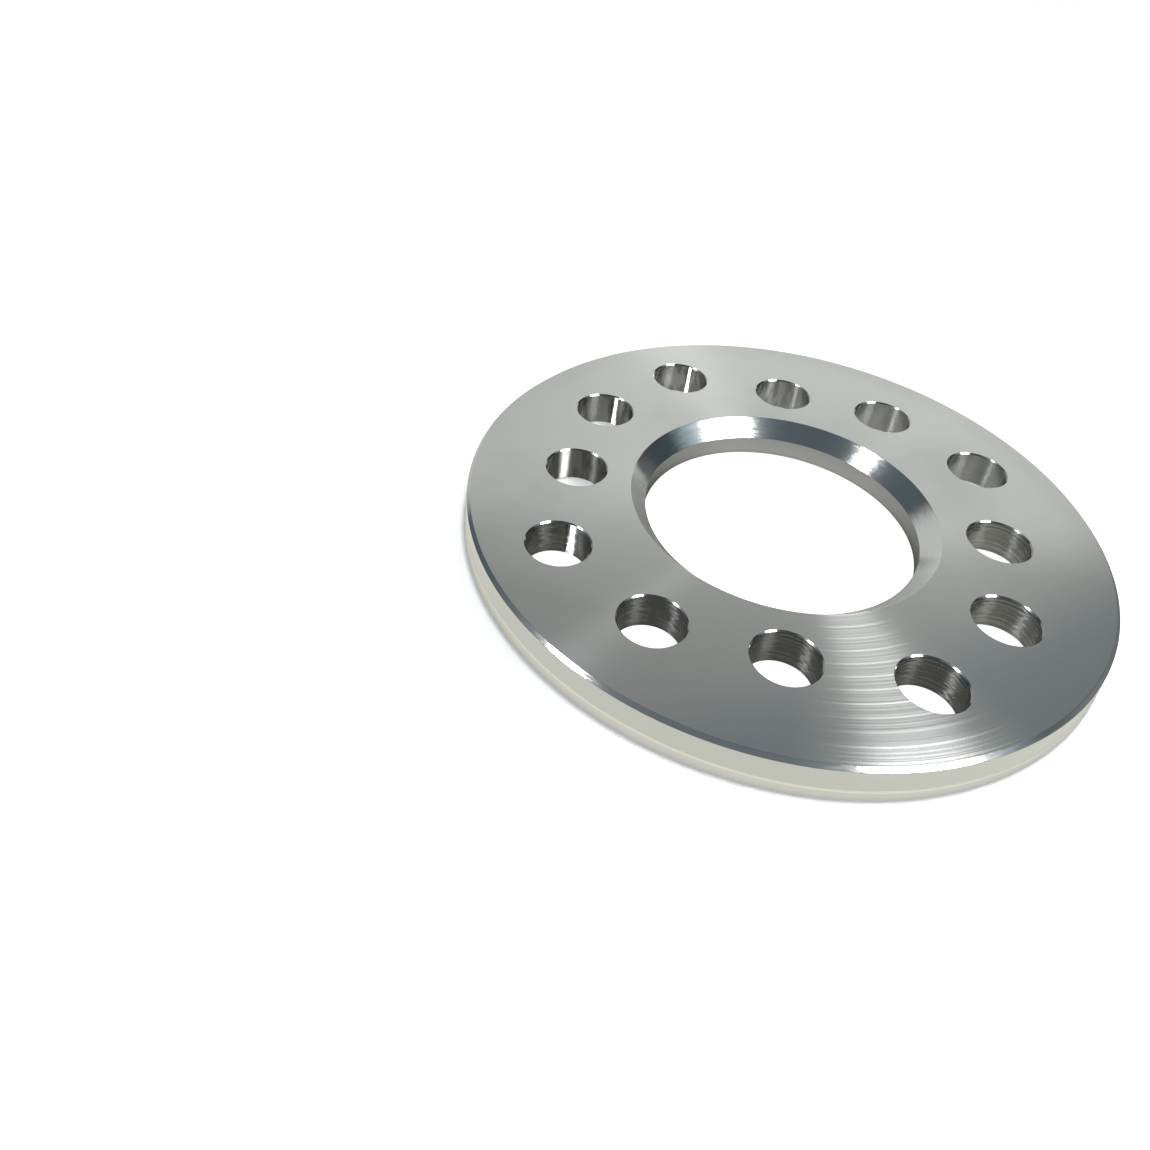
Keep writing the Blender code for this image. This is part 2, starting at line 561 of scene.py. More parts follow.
def floor_paper():
    """White paper with one look for the camera and one for mirrors. It is clear from below and on contact."""
    paper = bpy.data.materials.new("floor_paper")
    paper.use_nodes = True
    tree = paper.node_tree
    tree.nodes.clear()
    path = put(tree, "ShaderNodeLightPath")
    place = put(tree, "ShaderNodeTexCoord").outputs["Object"]
    radius = radius_in_mm(tree, place)
    beside = calc(tree, "SUBTRACT", radius, rim / MM)

    matt = put(tree, "ShaderNodeBsdfDiffuse", {"Color": FLOOR_WHITE})
    glow = times(tree, seen_glow(tree, place, radius, beside), path.outputs["Is Camera Ray"])
    lit = put(tree, "ShaderNodeEmission", {"Color": WHITE, "Strength": glow})
    lit = put(tree, "ShaderNodeAddShader", {0: matt.outputs[0], 1: lit.outputs[0]})
    sources = {"Color": mirrored_colour(tree, place), "Strength": mirrored_shade(tree, place, radius, beside)}
    shown = put(tree, "ShaderNodeEmission", sources)
    mirrored = calc(tree, "MAXIMUM", path.outputs["Is Glossy Ray"], path.outputs["Is Transmission Ray"])
    top = put(tree, "ShaderNodeMixShader", {0: mirrored, 1: lit.outputs[0], 2: shown.outputs[0]})

    back = put(tree, "ShaderNodeNewGeometry").outputs["Backfacing"]
    touching = calc(tree, "LESS_THAN", path.outputs["Ray Length"], TOUCHING)
    open_side = calc(tree, "MAXIMUM", back, touching)
    clear = put(tree, "ShaderNodeBsdfTransparent")
    both = put(tree, "ShaderNodeMixShader", {0: open_side, 1: top.outputs[0], 2: clear.outputs[0]})
    put(tree, "ShaderNodeOutputMaterial", {"Surface": both.outputs[0]})
    return paper


floor_mesh.materials.append(floor_paper())
print(floor_mesh.materials[0].name, "has", len(floor_mesh.materials[0].node_tree.nodes), "nodes")

# %% [markdown]
# ## Tool marks
#
# A lathe tool leaves a spiral groove that is far too fine to model, about a tenth of a millimetre from line
# to line, and the tool's chatter adds broader rings that only show where a lamp is mirrored. Both follow
# one number: the distance from the axis on a flat face, or the height on a wall. So one shader group takes
# that number and gives back a height for the Bump node, and masks of the lines and the rings for small
# changes of roughness and colour. Every finish uses the group with its own pitch and depth. The grooves
# that are finer than a pixel are left to the anisotropic highlight.

# %% How a group begins
def node_group(name, takes, gives, kind="ShaderNodeTree"):
    """An empty group of nodes. Takes and gives are lists of (name, socket type, default)."""
    tree = bpy.data.node_groups.new(name, kind)
    for way, sockets in (("INPUT", takes), ("OUTPUT", gives)):
        for label, socket_type, default in sockets:
            socket = tree.interface.new_socket(name=label, in_out=way, socket_type=socket_type)
            if default is not None:
                socket.default_value = default
    return tree, tree.nodes.new("NodeGroupInput").outputs, tree.nodes.new("NodeGroupOutput").inputs


# %% Group for the tool marks
FLOAT = "NodeSocketFloat"
VECTOR = "NodeSocketVector"
LINE_CONTRAST = (0.3, 0.7)


def tool_mark_group():
    """Lines and rings along one measure, which is in millimetres, as all the group's sizes are."""
    takes = [
        ("Across", FLOAT, 0.0),
        ("Line Pitch", FLOAT, 0.5),
        ("Line Depth", FLOAT, 0.001),
        ("Ring Pitch", FLOAT, 3.0),
        ("Ring Width", FLOAT, 0.4),
        ("Ring Start", FLOAT, 0.0),
    ]
    gives = [("Height", FLOAT, None), ("Lines", FLOAT, None), ("Rings", FLOAT, None)]
    tree, have, give = node_group("tool_marks", takes, gives)
    place = calc(tree, "DIVIDE", have["Across"], have["Line Pitch"])
    fine = put(tree, "ShaderNodeTexNoise", {"W": place, "Scale": 1.0, "Detail": 2.0}, noise_dimensions="1D")
    lines = times(tree, calc(tree, "SUBTRACT", fine.outputs[0], 0.5), have["Line Depth"])
    start = calc(tree, "SUBTRACT", have["Across"], have["Ring Start"])
    part = calc(tree, "FRACT", calc(tree, "DIVIDE", start, have["Ring Pitch"]))
    off_ring = calc(tree, "ABSOLUTE", calc(tree, "SUBTRACT", part, 0.5))
    gap = times(tree, off_ring, have["Ring Pitch"])
    groove = ramp(tree, calc(tree, "DIVIDE", gap, have["Ring Width"]), 0.0, 1.0, 1.0, 0.0)
    tree.links.new(lines, give["Height"])
    tree.links.new(ramp(tree, fine.outputs[0], *LINE_CONTRAST, -1.0, 1.0), give["Lines"])
    tree.links.new(groove, give["Rings"])
    return tree


tool_marks = tool_mark_group()
print(tool_marks.name, "has", len(tool_marks.nodes), "nodes")

# %% [markdown]
# ## Handling marks
#
# Bare aluminium never stays even. It dulls in faint clouds where it was wiped and held. A second group
# makes the clouds from two sizes of noise in three dimensions, so they run on over the edges without a
# seam.

# %% Group for the handling marks
CLOUD_CONTRAST = (0.5, 0.75)
MOTTLE_CONTRAST = (0.35, 0.65)
MOTTLE_FINENESS = 9.0


def handling_group():
    """Soft clouds, from 0 to 1, and finer mottling."""
    takes = [("Position", VECTOR, None), ("Cloud Size", FLOAT, 30.0)]
    gives = [("Clouds", FLOAT, None), ("Mottle", FLOAT, None)]
    tree, have, give = node_group("handling", takes, gives)
    scale = calc(tree, "DIVIDE", 1.0 / MM, have["Cloud Size"])
    sources = {"Vector": have["Position"], "Scale": scale, "Detail": 3.0, "Roughness": 0.5}
    clouds = put(tree, "ShaderNodeTexNoise", sources)
    finer = times(tree, scale, MOTTLE_FINENESS)
    sources = {"Vector": have["Position"], "Scale": finer, "Detail": 4.0}
    mottle = put(tree, "ShaderNodeTexNoise", sources)
    tree.links.new(ramp(tree, clouds.outputs[0], *CLOUD_CONTRAST), give["Clouds"])
    tree.links.new(ramp(tree, mottle.outputs[0], *MOTTLE_CONTRAST), give["Mottle"])
    return tree


handling = handling_group()
print(handling.name, "has", len(handling.nodes), "nodes")

# %% [markdown]
# ## Finishes
#
# All the surfaces are one metal, and they differ by the tool that cut them. The faces are the dullest. The
# bevels were cut in one short pass and are close to mirrors. The walls of the stud holes carry the drill's
# round grooves. Some of their colours are painted light and shade, and each finish says where.
#
# Grooves scatter light across themselves and hardly along themselves. The Principled shader does this with
# Anisotropic, and its Tangent says which way the wide scatter goes. On a turned surface that is always at
# right angles to the circle that the tool ran, so the material works the tangent out from the position or
# the normal.
#
# Each finish is begun and ended in the same way, by one pair of helpers. Between them it adds what is its
# own.

# %% How a metal begins and ends
METAL = (0.62, 0.625, 0.612, 1.0)
METAL_DULL = (0.52, 0.53, 0.52, 1.0)
ACROSS_THE_CIRCLE = 0.25            # a quarter turn of the Tangent


def begin_metal(name, on_face, marks, roughness, mottle, clouds, colour=METAL):
    """Starts a metal: its marks are counted by the radius on a face and by the height on a wall."""
    metal = bpy.data.materials.new(name)
    metal.use_nodes = True
    tree = metal.node_tree
    position = put(tree, "ShaderNodeTexCoord").outputs["Object"]
    if on_face:
        across = radius_in_mm(tree, position)
    else:
        across = calc(tree, "DIVIDE", measure(tree, "DOT_PRODUCT", position, UP), MM)
    marked = put(tree, "ShaderNodeGroup", {"Across": across, **marks}, node_tree=tool_marks)
    handled = put(tree, "ShaderNodeGroup", {"Position": position}, node_tree=handling)
    sources = {"Strength": 1.0, "Distance": MM, "Height": marked.outputs["Height"]}
    dulled = times(tree, handled.outputs["Clouds"], clouds)
    return SimpleNamespace(
        metal=metal,
        tree=tree,
        position=position,
        across=across,
        marks=marked.outputs,
        normal=put(tree, "ShaderNodeBump", sources).outputs[0],
        colour=blend(tree, dulled, colour, METAL_DULL),
        rough=calc(tree, "MULTIPLY_ADD", handled.outputs["Mottle"], mottle, roughness),
    )


def end_metal(parts, anisotropic, around_hole=False):
    """Joins the parts in the shader, with the wide scatter at right angles to the tool's circle."""
    tree = parts.tree
    shader = tree.nodes["Principled BSDF"]
    tree.links.new(parts.colour, shader.inputs["Base Color"])
    tree.links.new(parts.rough, shader.inputs["Roughness"])
    tree.links.new(parts.normal, shader.inputs["Normal"])
    outward = put(tree, "ShaderNodeNewGeometry").outputs["Normal"] if around_hole else parts.position
    tree.links.new(vector(tree, "CROSS_PRODUCT", UP, outward), shader.inputs["Tangent"])
    shader.inputs["Anisotropic Rotation"].default_value = ACROSS_THE_CIRCLE
    shader.inputs["Anisotropic"].default_value = anisotropic
    shader.inputs["Metallic"].default_value = 1.0
    print(parts.metal.name, "has", len(tree.nodes), "nodes")
    return parts.metal


# %% Changes to a metal
WANDER_SIZE = Vector((3.0, 3.0, 0.35))


def add_rough(parts, mask, amount):
    """Makes a metal rougher where a mask is 1."""
    parts.rough = calc(parts.tree, "MULTIPLY_ADD", mask, amount, parts.rough)


def recolour(parts, mask, colour):
    """Gives a metal another colour where a mask is 1."""
    parts.colour = blend(parts.tree, mask, parts.colour, colour)


def lean_normal(parts, mask, direction):
    """Leans the surface over by a direction, as far as the mask says."""
    leaned = vector(parts.tree, "MULTIPLY_ADD", direction, mask, parts.normal)
    parts.normal = vector(parts.tree, "NORMALIZE", leaned)


def uneven(parts, size, detail):
    """Noise whose patches have a size in millimetres along each axis."""
    stretch = Vector(1.0 / (length * MM) for length in size)
    place = vector(parts.tree, "MULTIPLY", parts.position, stretch)
    sources = {"Vector": place, "Scale": 1.0, "Detail": detail}
    return put(parts.tree, "ShaderNodeTexNoise", sources).outputs[0]


def wander_lines(parts, amount):
    """Lets the tool's lines run a little to the left and right, which frays the edges of the glints."""
    noise = uneven(parts, WANDER_SIZE, detail=1.0)
    swing = times(parts.tree, calc(parts.tree, "SUBTRACT", noise, 0.5), amount)
    lean_normal(parts, swing, vector(parts.tree, "CROSS_PRODUCT", UP, parts.normal))


# %% [markdown]
# ### The faces
#
# A face is turned in one slow cut, so its grooves are all circles round the axis, and they smear a softbox
# into a bright sheen that turns with the eye. On one side the tool chattered. There the face is rougher,
# and rings a few millimetres apart stand out as a fan of bright arcs.
#
# The fan could be painted with a mask, but a sector of a circle is easily worked out: how far a point lies
# to that side, divided by its distance from the axis, is the cosine of its angle from the middle of the
# fan.

# %% The faces
RING_PITCH = 3.335
OUTER_RING = 70.05
FACE_MARKS = {
    "Line Pitch": 0.45,
    "Line Depth": 0.0002,
    "Ring Pitch": RING_PITCH,
    "Ring Width": 0.40,
    "Ring Start": OUTER_RING - RING_PITCH / 2,
}
CHATTER_AZIMUTH = 299.0
CHATTER_STEP = (-60.0, 60.0)
CHATTER_SIDE = 0.051
CHATTER_RINGS = 0.050
CHATTER_LINES = 0.022
CHATTER_EDGE = 0.020
FAN_STEP = (0.94, 0.985)
FAN_EDGE_STEP = (67.0, 72.0)
EDGE_WEAR = 0.018
EDGE_WEAR_STEP = (66.0, 72.0)
PAINTED_BLUE_REFLECTION = (0.505, 0.535, 0.565, 1.0)
BLUE_AZIMUTH = 312.0
BLUE_STEP = (40.0, 60.0)


def face_metal():
    """Turned, and rougher where the tool chattered. Its rings show only there. Painted blue reflection near
    right.
    """
    parts = begin_metal("turned_face", True, FACE_MARKS, roughness=0.173, mottle=0.003, clouds=0.5)
    tree = parts.tree
    chatter_side = side_in_mm(tree, parts.position, CHATTER_AZIMUTH)
    add_rough(parts, ramp(tree, chatter_side, *CHATTER_STEP), CHATTER_SIDE)
    add_rough(parts, ramp(tree, parts.across, *EDGE_WEAR_STEP), EDGE_WEAR)
    fan = ramp(tree, calc(tree, "DIVIDE", chatter_side, parts.across), *FAN_STEP)
    add_rough(parts, times(tree, parts.marks["Rings"], fan), CHATTER_RINGS)
    add_rough(parts, times(tree, parts.marks["Lines"], fan), CHATTER_LINES)
    add_rough(parts, times(tree, ramp(tree, parts.across, *FAN_EDGE_STEP), fan), CHATTER_EDGE)
    # Painted reflection: outside the fan, the near right is tinted blue, as it mirrors the bluish room.
    blue_reflection_side = side_mask(tree, parts.position, BLUE_AZIMUTH, BLUE_STEP)
    recolour(parts, times(tree, blue_reflection_side, calc(tree, "SUBTRACT", 1.0, fan)), PAINTED_BLUE_REFLECTION)
    return end_metal(parts, anisotropic=1.0)


turned_face = face_metal()

# %% [markdown]
# ### The bevels
#
# A bevel is cut in one short pass with a sharp tool, so it is close to a mirror and shows the softboxes
# nearly whole. Its grooves wander a little, which softens their edges. On the near side of the bore the
# tool rubbed when it left the work, and that part is dull. Its colour there is painted: darker to the left
# as shade, and brighter to the right as a reflection.

# %% The bevels
BEVEL_MARKS = {"Line Pitch": 0.4, "Line Depth": 0.0004}
BEVEL_LINES = 0.006
BEVEL_WANDER = 0.08
RUBBED = 0.22
RUBBED_STEP = (0.0, 9.0)
BORE_BEVEL_STEP = (50.0, 45.0)      # from the rim's bevel to the bore's
PAINTED_SHADE_LEFT = (0.47, 0.475, 0.465, 1.0)
PAINTED_REFLECTION_RIGHT = (0.90, 0.90, 0.87, 1.0)
PAINTED_REFLECTION_STEP = (-20.0, 20.0)


def bevel_metal():
    """Close to a mirror, but dull where the tool left the work, and painted there with shade and a
    reflection.
    """
    parts = begin_metal("turned_bevel", True, BEVEL_MARKS, roughness=0.155, mottle=0.010, clouds=0.2)
    tree = parts.tree
    add_rough(parts, parts.marks["Lines"], BEVEL_LINES)
    wander_lines(parts, BEVEL_WANDER)
    near = side_mask(tree, parts.position, FRONT, RUBBED_STEP)
    rubbed_and_painted_light = times(tree, near, ramp(tree, parts.across, *BORE_BEVEL_STEP))
    add_rough(parts, rubbed_and_painted_light, RUBBED)
    # Painted shade to the left and a painted reflection to the right, in the colour of the dull part.
    to_right = side_mask(tree, parts.position, RIGHT, PAINTED_REFLECTION_STEP)
    recolour(parts, rubbed_and_painted_light, blend(tree, to_right, PAINTED_SHADE_LEFT, PAINTED_REFLECTION_RIGHT))
    return end_metal(parts, anisotropic=0.35)


turned_bevel = bevel_metal()

# %% [markdown]
# ### The rim and the bore
#
# The two upright walls mirror the paper that the plate lies on. The rim was turned in two grips, and the
# lower grip's colour is a little brighter. The ledge between the two shows as a thin bright line, which is a
# painted highlight in its colour. The ledge is only a few hundredths of a millimetre deep, so its slope would
# mirror the lamps above in a harsh way. Its normal is laid level instead, which makes it mirror the paper as
# the walls do.

# %% The rim and the bore
WALL_MARKS = {"Line Pitch": 0.5, "Line Depth": 0.002}
WALL_LINES = 0.015
METAL_LOWER = (0.69, 0.69, 0.68, 1.0)
PAINTED_LEDGE_HIGHLIGHT = (0.86, 0.86, 0.83, 1.0)
ON_RIM_STEP = (50.0, 60.0)          # from the bore's wall to the rim's
LOWER_STEP = (0.3, 0.0)             # above the ledge
LEDGE_STEP = (0.4, 0.1)             # away from the ledge


def wall_metal():
    """Turned walls. The lower grip of the rim is a little brighter, and the ledge has a painted highlight."""
    parts = begin_metal("turned_wall", False, WALL_MARKS, roughness=0.210, mottle=0.010, clouds=0.3)
    tree = parts.tree
    add_rough(parts, parts.marks["Lines"], WALL_LINES)
    from_ledge = calc(tree, "SUBTRACT", parts.across, ledge_height / MM)
    on_rim = ramp(tree, radius_in_mm(tree, parts.position), *ON_RIM_STEP)
    recolour(parts, times(tree, on_rim, ramp(tree, from_ledge, *LOWER_STEP)), METAL_LOWER)
    near_ledge = ramp(tree, calc(tree, "ABSOLUTE", from_ledge), *LEDGE_STEP)
    near_ledge = times(tree, on_rim, near_ledge)
    # A painted highlight: the ledge's thin bright line is put into its colour.
    recolour(parts, near_ledge, PAINTED_LEDGE_HIGHLIGHT)
    lean_normal(parts, near_ledge, vector(tree, "MULTIPLY", parts.normal, (0.0, 0.0, -1.0)))
    return end_metal(parts, anisotropic=0.7)


turned_wall = wall_metal()

# %% [markdown]
# ### The stud holes
#
# A drill leaves round grooves, and on its way back it scores the wall here and there. The grooves show on
# the near walls, where they break up the mirrored lamps, and the scored places show as soft upright
# streaks. Three of the left holes have a hard bright streak instead, as if the metal was pushed up in a
# narrow lip.
#
# All twelve holes share one material. A score or a lip is a spot on one wall, given by the hole's number
# and a direction, and the material compares each point's distance from the spot with the spot's reach. On a
# lip the normal is leaned to halfway between the lens and the small softbox, which is where a mirror has to
# point to show it.

# %% The stud holes
HOLE_MARKS = {"Line Pitch": 0.55, "Line Depth": 0.0}
HOLE_LINES = 0.020
HOLE_WANDER = 0.65
NEAR_AZIMUTH = 300.0
NEAR_STEP = (-35.0, 20.0)
GROOVE_AND_PAINTED_SHADE = (0.30, 0.30, 0.29, 1.0)
PAINTED_REFLECTION_BANDS = (0.36, 0.36, 0.35, 1.0)
BAND_SIZE = Vector((2.2, 2.2, 7.0))
BAND_DETAIL = 2.5
BAND_STEP = (0.42, 0.58)
BAND_LEFT_STEP = (-15.0, 25.0)
BAND_AT_RIGHT = 0.25

# The hole's number, the direction on its wall in degrees, the extra roughness and the reach in millimetres
SCORES = [
    (1, 67.0, 0.17, 2.8),
    (2, 67.0, 0.16, 2.8),
    (3, 67.0, 0.18, 3.2),
    (9, 45.0, 0.18, 4.0),
    (10, 131.0, 0.22, 2.5),
    (10, 60.0, 0.14, 5.0),
    (4, 48.0, 0.12, 7.0),
    (5, 48.0, 0.17, 7.0),
    (6, 48.0, 0.19, 7.0),
    (7, 48.0, 0.16, 7.0),
    (8, 61.0, 0.14, 4.5),
]
# The hole's number, the direction on its wall in degrees and the reach in millimetres
LIPS = [(0, 80.0, 1.2), (9, 82.0, 2.2), (11, 82.0, 1.4)]


def wall_spot(number, azimuth):
    """The place on a hole's wall that lies in one direction from its axis, at the height of the paper."""
    return Vector((*stud_centres[number], 0.0)) + stud_wall * studio_direction(azimuth)


def near_spot(parts, spot, reach):
    """A mask that grows from 0 to 1 towards an upright line on a wall."""
    flat = vector(parts.tree, "MULTIPLY", parts.position, IN_PLAN)
    return ramp(parts.tree, measure(parts.tree, "DISTANCE", flat, spot), reach * MM, 0.0)


def add_lip(parts, number, azimuth, reach):
    """Leans a narrow part of a wall, so that it mirrors the small softbox to the camera."""
    spot = wall_spot(number, azimuth)
    half_way_up = spot + middle / 2
    to_lens = (camera.matrix_world.translation - half_way_up).normalized()
    to_softbox = (side.location - half_way_up).normalized()
    glint = (to_lens + to_softbox).normalized()
    lean_normal(parts, near_spot(parts, spot, reach), vector(parts.tree, "SUBTRACT", glint, parts.normal))


def drilled_metal():
    """Drilled walls: grooves and painted shade near, painted reflection bands on the left, scored places and
    lips.
    """
    parts = begin_metal("drilled_wall", False, HOLE_MARKS, roughness=0.185, mottle=0.010, clouds=0.3)
    tree = parts.tree
    near = side_mask(tree, parts.position, NEAR_AZIMUTH, NEAR_STEP)
    grooves = calc(tree, "MULTIPLY_ADD", parts.marks["Lines"], 0.5, 0.5)  # from 0 to 1, not from -1
    # The grooves darken the near walls: a real pattern, and partly painted shade.
    recolour(parts, times(tree, near, grooves), GROOVE_AND_PAINTED_SHADE)
    add_rough(parts, times(tree, parts.marks["Lines"], near), HOLE_LINES)
    # Painted reflection: dark upright bands on the left walls stand for what the walls mirror.
    left = side_mask(tree, parts.position, LEFT, BAND_LEFT_STEP, BAND_AT_RIGHT, 1.0)
    reflection_bands = ramp(tree, uneven(parts, BAND_SIZE, BAND_DETAIL), *BAND_STEP)
    recolour(parts, times(tree, reflection_bands, left), PAINTED_REFLECTION_BANDS)
    wander_lines(parts, times(tree, near, HOLE_WANDER))
    for number, azimuth, amount, reach in SCORES:
        add_rough(parts, near_spot(parts, wall_spot(number, azimuth), reach), amount)
    for number, azimuth, reach in LIPS:
        add_lip(parts, number, azimuth, reach)
    return end_metal(parts, anisotropic=1.0, around_hole=True)


drilled_wall = drilled_metal()

# %% [markdown]
# ### The countersinks
#
# The countersinks are only 0.3 mm wide, but each shows the two softboxes as a pair of white glints, with a
# dark arc between them, and that repeats twelve times. They are smooth, and their colour is painted dark as
# shade. Where they face the small softbox they are rougher and painted bright, a painted glint that widens
# the right one of each pair.

# %% The countersinks
# Painted shade: the countersinks' colour is dark.
PAINTED_SHADE_EDGE = (0.32, 0.32, 0.32, 1.0)
GLINT_AZIMUTH = 236.0
GLINT_STEP = (0.62, 0.66)
GLINT_ROUGHNESS = 0.10


def countersunk_metal():
    """Painted dark as shade, and smooth, but rougher and painted bright as a glint where it faces the small
    softbox.
    """
    parts = begin_metal(
        "countersunk", False, BEVEL_MARKS, roughness=0.120, mottle=0.0, clouds=0.0, colour=PAINTED_SHADE_EDGE
    )
    # Painted glint: where a countersink faces the small softbox it is painted bright and made rougher.
    facing = measure(parts.tree, "DOT_PRODUCT", parts.normal, studio_direction(GLINT_AZIMUTH))
    painted_glint = ramp(parts.tree, facing, *GLINT_STEP)
    recolour(parts, painted_glint, METAL)
    add_rough(parts, painted_glint, GLINT_ROUGHNESS)
    return end_metal(parts, anisotropic=0.5, around_hole=True)


countersunk = countersunk_metal()
finishes = [turned_face, turned_bevel, turned_wall, drilled_wall, countersunk]
print("finishes:", [finish.name for finish in finishes])

# %% [markdown]
# ## Turning in Geometry Nodes
#
# The plate could be a Boolean of cylinders, but a lathe makes it from one section, and so does this tree.
# The section is a closed curve of corner points. Its corners get a small round, as deburring leaves them,
# and Curve to Mesh takes it once round the axis. The same group turns the drill for the stud holes, so it
# is made first.

# %% Group that turns a section
AXIS_CIRCLE = 0.0001  # Curve to Mesh needs a path with a size, and the section is moved in by as much
MERGE_DISTANCE = 1e-6
ROUNDING_STEPS = 3
GEOMETRY = "NodeSocketGeometry"
INTEGER = "NodeSocketInt"
MATERIAL = "NodeSocketMaterial"


def geometry_group(name, takes, gives="Mesh"):
    """An empty group for Geometry Nodes, with named inputs and one output."""
    return node_group(name, takes, [(gives, GEOMETRY, None)], kind="GeometryNodeTree")


def turning_group():
    """Takes a section, with X as the radius and Y as the height, once round the Z axis."""
    tree, have, give = geometry_group("turn_section", [("Section", GEOMETRY, None), ("Sides", INTEGER, 96)])
    path = put(tree, "GeometryNodeCurvePrimitiveCircle", {"Resolution": have["Sides"], "Radius": AXIS_CIRCLE})
    # A section hangs upside down on a circle, so it is turned over here and its faces are flipped back below.
    sources = {"Geometry": have["Section"], "Scale": (1.0, -1.0, 1.0), "Translation": (-AXIS_CIRCLE, 0, 0)}
    section = put(tree, "GeometryNodeTransform", sources)
    sources = {"Curve": path.outputs[0], "Profile Curve": section.outputs[0]}
    skin = put(tree, "GeometryNodeCurveToMesh", sources)
    sources = {"Geometry": skin.outputs[0], "Distance": MERGE_DISTANCE}
    merged = put(tree, "GeometryNodeMergeByDistance", sources)
    flipped = put(tree, "GeometryNodeFlipFaces", {"Mesh": merged.outputs[0]})
    tree.links.new(flipped.outputs[0], give[0])
    return tree


def pick(tree, data_type, number, choices):
    """Picks one of a few sockets by a number that counts from 0."""
    switch = put(tree, "GeometryNodeIndexSwitch", {"Index": number}, data_type=data_type)
    while len(switch.index_switch_items) < len(choices):
        switch.index_switch_items.new()
    for place, choice in enumerate(choices):
        tree.links.new(choice, switch.inputs[place + 1])
    return switch.outputs[0]


def section_curve(tree, points, rounding=None):
    """A curve through (radius, height) points. A rounding closes it and rounds its corners."""
    number = put(tree, "GeometryNodeInputIndex").outputs[0]
    places = [put(tree, "ShaderNodeCombineXYZ", dict(enumerate(point))).outputs[0] for point in points]
    sources = {"Count": len(points), "Position": pick(tree, "VECTOR", number, places)}
    dots = put(tree, "GeometryNodePoints", sources)
    curve = put(tree, "GeometryNodePointsToCurves", {"Points": dots.outputs[0]}).outputs[0]
    if rounding is None:
        return curve
    closed = put(tree, "GeometryNodeSetSplineCyclic", {"Geometry": curve, "Cyclic": True})
    sources = {"Curve": closed.outputs[0], "Count": ROUNDING_STEPS, "Radius": rounding, "Limit Radius": True}
    return put(tree, "GeometryNodeFilletCurve", sources, mode="POLY").outputs[0]


turn_section = turning_group()
print(turn_section.name, "takes", [socket.name for socket in turn_section.interface.items_tree])

# %% [markdown]
# ## The plate's section
#
# The group's inputs are the sizes that a drawing of the plate would give. Arithmetic nodes turn them into
# the ten corners, starting at the bore's wheel end and going out along the wheel face, up the rim and back
# along the hub face. The rim was turned in two grips, so it has a ledge a few hundredths of a millimetre
# deep.

# %% Group for the undrilled plate
INSIDE = 0.0005 * MM  # keeps rounding errors inside the box of the solid
EDGE_ROUNDING = 0.12 * MM
PLATE_SIDES = 288


def blank_group():
    """The turned plate before it is drilled."""
    takes = [
        ("Rim Radius", FLOAT, rim - INSIDE),
        ("Bore Radius", FLOAT, bore),
        ("Thickness", FLOAT, thickness - INSIDE),
        ("Hub Bore Bevel", FLOAT, hub_face[0] - bore),
        ("Hub Rim Bevel", FLOAT, upper_rim - hub_face[1]),
        ("Wheel Edge Bevel", FLOAT, edge_bevel),
        ("Ledge Height", FLOAT, ledge_height),
        ("Ledge Depth", FLOAT, rim - upper_rim),
        ("Edge Rounding", FLOAT, EDGE_ROUNDING),
        ("Sides", INTEGER, PLATE_SIDES),
    ]
    tree, have, give = geometry_group("turned_blank", takes)

    def add(first, second):
        return calc(tree, "ADD", have[first] if isinstance(first, str) else first, have[second])

    def less(first, second):
        return calc(tree, "SUBTRACT", have[first] if isinstance(first, str) else first, have[second])

    upper = less("Rim Radius", "Ledge Depth")
    points = [
        (have["Bore Radius"], have["Wheel Edge Bevel"]),
        (add("Bore Radius", "Wheel Edge Bevel"), 0.0),
        (less("Rim Radius", "Wheel Edge Bevel"), 0.0),
        (have["Rim Radius"], have["Wheel Edge Bevel"]),
        (have["Rim Radius"], have["Ledge Height"]),
        (upper, add("Ledge Height", "Ledge Depth")),
        (upper, less("Thickness", "Hub Rim Bevel")),
        (less(upper, "Hub Rim Bevel"), have["Thickness"]),
        (add("Bore Radius", "Hub Bore Bevel"), have["Thickness"]),
        (have["Bore Radius"], less("Thickness", "Hub Bore Bevel")),
    ]
    sources = {"Section": section_curve(tree, points, have["Edge Rounding"]), "Sides": have["Sides"]}
    blank = put(tree, "GeometryNodeGroup", sources, node_tree=turn_section)
    tree.links.new(blank.outputs[0], give[0])
    return tree


turned_blank = blank_group()
print(turned_blank.name, "has", len(turned_blank.nodes), "nodes")

# %% [markdown]
# ## The stud holes
#
# One drill, with a countersink at each end, is set on twelve points. The points go round at even angles,
# and their radius is picked by the remainder of their number, because the three bolt circles take turns.
# Drills stand clear of each other, so they can cut together in one Boolean.

# %% Group for the drills
OVERRUN = 2.0 * MM
HOLE_SIDES = 96
CIRCLES = ["First Circle", "Second Circle", "Third Circle"]


